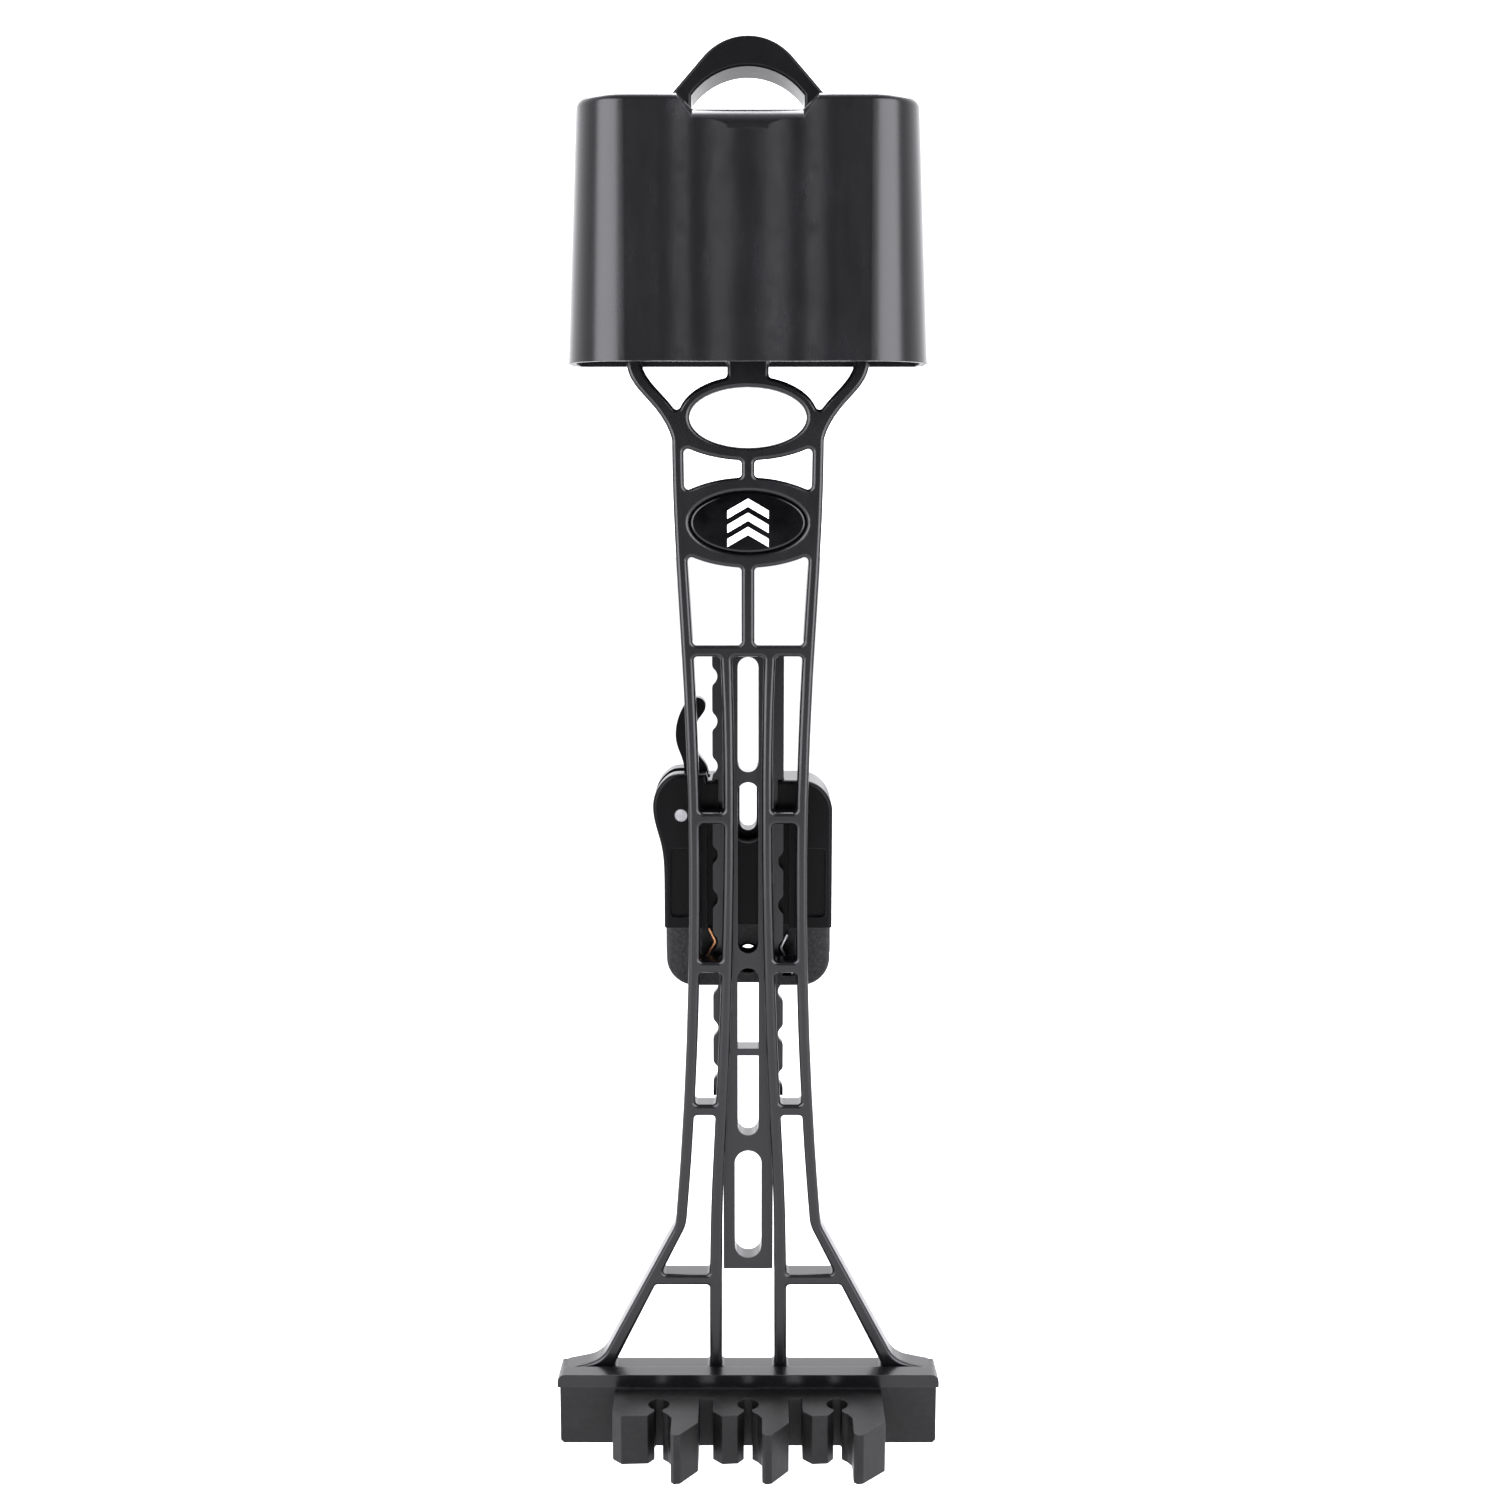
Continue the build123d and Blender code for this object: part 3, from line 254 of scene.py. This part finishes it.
def turned_metal(name, first, second, rough, metallic=1.0):
    """Machined metal with fine tool rings and faint stains that vary at random."""
    s = Shader(name)
    rings = s.node("ShaderNodeTexWave", wave_type="RINGS", rings_direction="SPHERICAL")
    rings.inputs["Scale"].default_value = 900.0
    rings.inputs["Distortion"].default_value = 1.5
    s.link(s.coords, "Object", rings, "Vector")
    stain = s.noise(260.0, 4.0)
    colour = s.blend(s.remap(stain, 0.4, 0.7), first, second)
    roughness = s.remap((rings, "Fac"), 0.0, 1.0, rough - 0.05, rough + 0.1)
    lines = s.bump((rings, "Fac"), 0.15, 0.00004)
    s.round_edges(0.0002, lines)
    return s.finish(colour, roughness, lines, Metallic=metallic)


def domed_resin(name):
    """Glossy black resin dome with faint swirl marks."""
    s = Shader(name)
    swirl = s.noise(120.0, 5.0, 0.7)
    colour = s.blend(s.remap(swirl, 0.4, 0.8), (0.0003, 0.0003, 0.0005), (0.0010, 0.0010, 0.0014))
    roughness = s.remap(swirl, 0.35, 0.75, 0.08, 0.18)
    bump = s.bump(s.noise(45.0, 2.0), 0.08, 0.0003)
    return s.finish(colour, roughness, bump, Specular_IOR_Level=0.28)


def printed_ink(name):
    """Pale printed ink with slight mottling."""
    s = Shader(name)
    mottle = s.noise(900.0, 3.0)
    colour = s.blend(s.remap(mottle, 0.3, 0.8), (0.80, 0.80, 0.79), (0.66, 0.66, 0.66))
    roughness = s.remap(mottle, 0.3, 0.7, 0.35, 0.5)
    return s.finish(colour, roughness, s.bump(mottle, 0.2, 0.00003))


NYLON = moulded_plastic("nylon_satin", (0.0009, 0.0009, 0.0012), (0.0018, 0.0018, 0.0023), 0.25, 1500.0,
                        0.000015, 0.3, 0.32)
HOOD = moulded_plastic("hood_satin", (0.0009, 0.0009, 0.0012), (0.0016, 0.0016, 0.0021), 0.26, 1100.0,
                       0.000015, 0.2, 0.34)
LOOP = moulded_plastic("loop_satin", (0.0006, 0.0006, 0.0007), (0.0012, 0.0012, 0.0014), 0.30, 1300.0,
                       0.00003, 0.2, 0.13)
# Painted shade: the mount's nylon is darker and less shiny than the frame's, for the shadow the mount sits
# in behind the frame.
SHADED_MOUNT = moulded_plastic("mount_nylon_painted_shade", (0.0004, 0.0004, 0.0005), (0.0010, 0.0010, 0.0012), 0.30, 1700.0,
                        0.00002, 0.3, 0.07)
CAP = grained_plastic("mount_cap_pebbled", (0.0025, 0.0025, 0.0027), (0.008, 0.008, 0.0086), 0.45, 900.0,
                      0.00014, 0.20)
RUBBER = moulded_rubber("grip_rubber", (0.0010, 0.0010, 0.0011), (0.0026, 0.0026, 0.0026),
                        (0.007, 0.0068, 0.0068))
FOAM = foam("foam")
STEEL = turned_metal("steel_turned", (0.34, 0.34, 0.35), (0.22, 0.22, 0.23), 0.30)
BLACK_STEEL = turned_metal("black_oxide", (0.030, 0.030, 0.033), (0.05, 0.048, 0.047), 0.36, 0.85)
BRASS = turned_metal("brass_turned", (0.62, 0.42, 0.17), (0.40, 0.26, 0.10), 0.3)
BRONZE = turned_metal("bronze_rolled", (0.50, 0.24, 0.11), (0.30, 0.15, 0.08), 0.32)
RESIN = domed_resin("badge_resin")
INK = printed_ink("badge_ink")

FINISHES = {
    "frame": NYLON, "badge": RESIN, "hood_shell": HOOD, "hood_foam": FOAM, "hanging_loop": LOOP,
    "gripper_block": RUBBER, "front_gripper": RUBBER, "mount_housing": SHADED_MOUNT, "mount_cap": CAP,
    "mount_plate": SHADED_MOUNT, "cam_lever": SHADED_MOUNT, "clamp_shoe": SHADED_MOUNT, "lever_pin": STEEL,
    "lever_washers": STEEL, "detent_spring_left": BRONZE, "detent_spring_right": STEEL,
    "hood_inserts": BRASS, "mount_inserts": BRASS, "hood_screws": BLACK_STEEL,
    "loop_screws": BLACK_STEEL, "gripper_screws": BLACK_STEEL, "mount_screws": BLACK_STEEL,
}
for node_name, finish in FINISHES.items():
    materials = nodes[node_name].data.materials
    if not materials:
        materials.append(finish)
    for index in range(len(materials)):
        materials[index] = finish


# ---------------------------------------------------------------- plain mark on the badge
def flat_mark(name, outlines, y_front, thickness):
    """Thin raised plates with the given front view outlines (X, Z)."""
    mesh = bpy.data.meshes.new(name)
    bm = bmesh.new()
    for outline in outlines:
        face = bm.faces.new([bm.verts.new((x, y_front + thickness, z)) for x, z in outline])
        moved = bmesh.ops.extrude_face_region(bm, geom=[face])
        for vertex in (v for v in moved["geom"] if isinstance(v, bmesh.types.BMVert)):
            vertex.co.y = y_front
    bmesh.ops.recalc_face_normals(bm, faces=bm.faces[:])
    bm.to_mesh(mesh)
    bm.free()
    piece = bpy.data.objects.new(name, mesh)
    bpy.context.scene.collection.objects.link(piece)
    return piece


def chevron(tip, middle_z):
    """Outline of an upward chevron with its tip the given number of mm above middle_z."""
    end = tip - MARK_RISE
    points = [(-MARK_HALF, end), (0.0, tip), (MARK_HALF, end),
              (MARK_HALF, end - MARK_BAND), (0.0, tip - MARK_BAND), (-MARK_HALF, end - MARK_BAND)]
    return [(x * MARK_UNIT, middle_z + z * MARK_UNIT) for x, z in points]


badge_low, badge_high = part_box("badge")
badge_z = (badge_low.z + badge_high.z) / 2
chevrons = [chevron(tip, badge_z) for tip in MARK_TOPS]
mark = flat_mark("badge_mark", chevrons, badge_low.y - MARK_STANDOUT, MARK_THICKNESS)
mark.data.materials.append(INK)
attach(mark, "quiver")


# ---------------------------------------------------------------- floor, light, camera
def pale_floor(z):
    """Large even floor at height z."""
    s = Shader("floor_pale")
    speckle = s.noise(9.0, 2.0)
    colour = s.blend(speckle, (0.53, 0.53, 0.53), (0.56, 0.56, 0.56))
    material = s.finish(colour, s.remap(speckle, 0.0, 1.0, 0.75, 0.85), s.bump(speckle, 0.0, 0.0001))
    mesh = bpy.data.meshes.new("floor")
    corners = [(-FLOOR_HALF, -FLOOR_HALF, z), (FLOOR_HALF, -FLOOR_HALF, z),
               (FLOOR_HALF, FLOOR_HALF, z), (-FLOOR_HALF, FLOOR_HALF, z)]
    mesh.from_pydata(corners, [], [(0, 1, 2, 3)])
    mesh.materials.append(material)
    floor = bpy.data.objects.new("floor", mesh)
    bpy.context.scene.collection.objects.link(floor)


def softbox(name, position, width, height, watts):
    """Soft rectangular light that points at the middle of the part."""
    light = bpy.data.lights.new(name, "AREA")
    light.shape = "RECTANGLE"
    light.size = width
    light.size_y = height
    light.energy = watts
    light.color = DAYLIGHT
    piece = bpy.data.objects.new(name, light)
    piece.location = position
    aim = Vector(LIGHT_TARGET) - Vector(position)
    piece.rotation_euler = aim.to_track_quat("-Z", "Y").to_euler()
    bpy.context.scene.collection.objects.link(piece)


def studio_world():
    """Studio surroundings, dim on the photographer's side and growing brighter to the backdrop."""
    world = bpy.data.worlds.new("studio")
    bpy.context.scene.world = world
    world.use_nodes = True
    tree = world.node_tree
    background = tree.nodes["Background"]
    direction = tree.nodes.new("ShaderNodeTexCoord")
    split = tree.nodes.new("ShaderNodeSeparateXYZ")
    strength = tree.nodes.new("ShaderNodeMapRange")
    strength.interpolation_type = "SMOOTHSTEP"
    for entry, value in (("From Min", -0.95), ("From Max", 0.9), ("To Min", WORLD_FRONT),
                         ("To Max", WORLD_BACK)):
        strength.inputs[entry].default_value = value
    tree.links.new(direction.outputs["Generated"], split.inputs["Vector"])
    tree.links.new(split.outputs["Y"], strength.inputs["Value"])
    tree.links.new(strength.outputs["Result"], background.inputs["Strength"])
    background.inputs["Color"].default_value = WORLD_COLOUR


pale_floor(cad_box[0][2] - SLIDE_DROP)
for light_name, setting in SOFTBOXES.items():
    softbox(light_name, *setting)
studio_world()

camera = bpy.data.cameras.new("camera")
camera.lens = LENS
camera.sensor_width = SENSOR
camera_object = bpy.data.objects.new("camera", camera)
camera_object.location = (CAMERA_X, FRAME_FRONT_Y - CAMERA_DISTANCE, CAMERA_HEIGHT)
camera_object.rotation_euler = (math.radians(90.0 - CAMERA_PITCH), 0.0, 0.0)
bpy.context.scene.collection.objects.link(camera_object)
bpy.context.scene.camera = camera_object
bpy.context.scene.view_settings.view_transform = "Standard"
